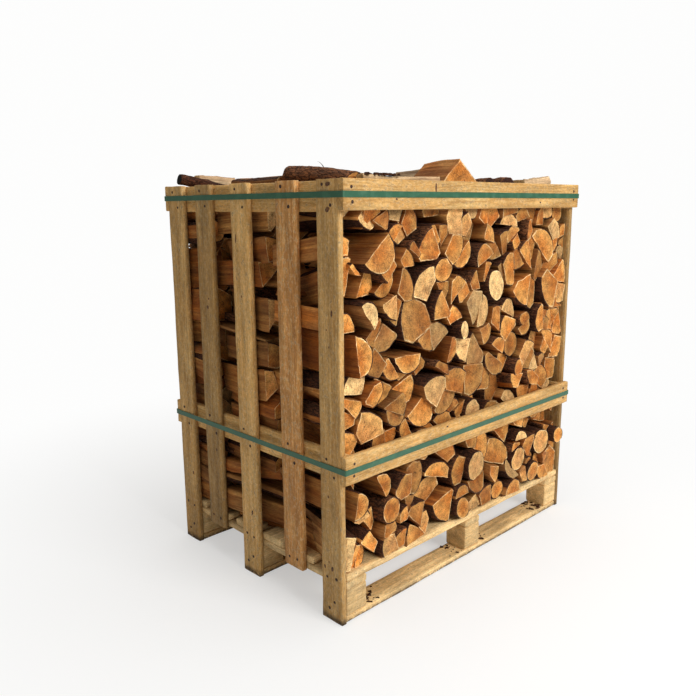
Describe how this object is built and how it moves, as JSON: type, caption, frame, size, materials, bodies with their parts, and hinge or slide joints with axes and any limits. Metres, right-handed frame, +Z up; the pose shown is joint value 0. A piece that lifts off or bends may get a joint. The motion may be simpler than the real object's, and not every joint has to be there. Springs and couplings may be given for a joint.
{
  "type": "firewood bundle in a slatted crate",
  "caption": "Slatted softwood crate on a skid base, packed with rows of split logs and held by two plastic straps; lifted with forks from the front or sides.",
  "frame": {"origin": "centre of the footprint at floor level", "axes": "+Z up; +X along the face that shows the log ends; +Y from that front face to the back"},
  "size_m": [1.104, 0.8, 1.215],
  "materials": {
    "slat_wood": "rough sawn softwood, a little weathered",
    "red_slat_wood": "rough sawn softwood, redder heartwood",
    "base_wood": "rough sawn softwood, dusty",
    "split_firewood": "raw split and cut hardwood, matte",
    "bark_firewood": "rough bark over raw hardwood",
    "green_strap": "embossed plastic strapping, slight sheen",
    "nail_steel": "dull wire nail heads"
  },
  "bodies": {
    "root": {"left_slat_1": "slat_wood", "left_slat_2": "slat_wood", "left_slat_3": "slat_wood", "left_slat_4": "red_slat_wood", "left_slat_5": "slat_wood", "right_slat_1": "slat_wood", "right_slat_2": "slat_wood", "right_slat_3": "slat_wood", "right_slat_4": "slat_wood", "right_slat_5": "slat_wood", "left_top_rail": "slat_wood", "left_middle_rail": "slat_wood", "right_top_rail": "slat_wood", "right_middle_rail": "slat_wood", "front_top_board": "slat_wood", "front_middle_board": "slat_wood", "back_top_board": "slat_wood", "back_middle_board": "slat_wood", "runner_front": "base_wood", "block_front_left": "base_wood", "block_front_middle": "base_wood", "block_front_right": "base_wood", "runner_middle": "base_wood", "block_middle_left": "base_wood", "block_middle_middle": "base_wood", "block_middle_right": "base_wood", "runner_back": "base_wood", "block_back_left": "base_wood", "block_back_middle": "base_wood", "block_back_right": "base_wood", "cross_board_left": "base_wood", "cross_board_middle": "base_wood", "cross_board_right": "base_wood", "deck_board_1": "base_wood", "deck_board_2": "base_wood", "deck_board_3": "base_wood", "deck_board_4": "base_wood", "deck_board_5": "base_wood", "deck_board_6": "base_wood", "strap_upper": "green_strap", "strap_lower": "green_strap", "log_row_front": "split_firewood", "log_row_middle": "split_firewood", "log_row_back": "split_firewood", "top_log_near_corner": "bark_firewood", "top_log_front_slab": "split_firewood", "top_log_big_wedge": "split_firewood", "top_log_thin_half": "split_firewood", "top_log_small_half": "bark_firewood", "top_log_right_slab": "split_firewood", "top_log_dark_slab": "bark_firewood", "top_log_middle_round": "bark_firewood", "top_log_middle_half": "split_firewood", "top_log_grey_wedge": "bark_firewood", "top_log_middle_quarter": "split_firewood", "top_log_back_corner": "bark_firewood", "top_log_back_strip": "split_firewood", "top_log_back_slab": "split_firewood", "top_log_back_half": "bark_firewood", "top_log_back_quarter": "split_firewood"}
  },
  "joints": []
}
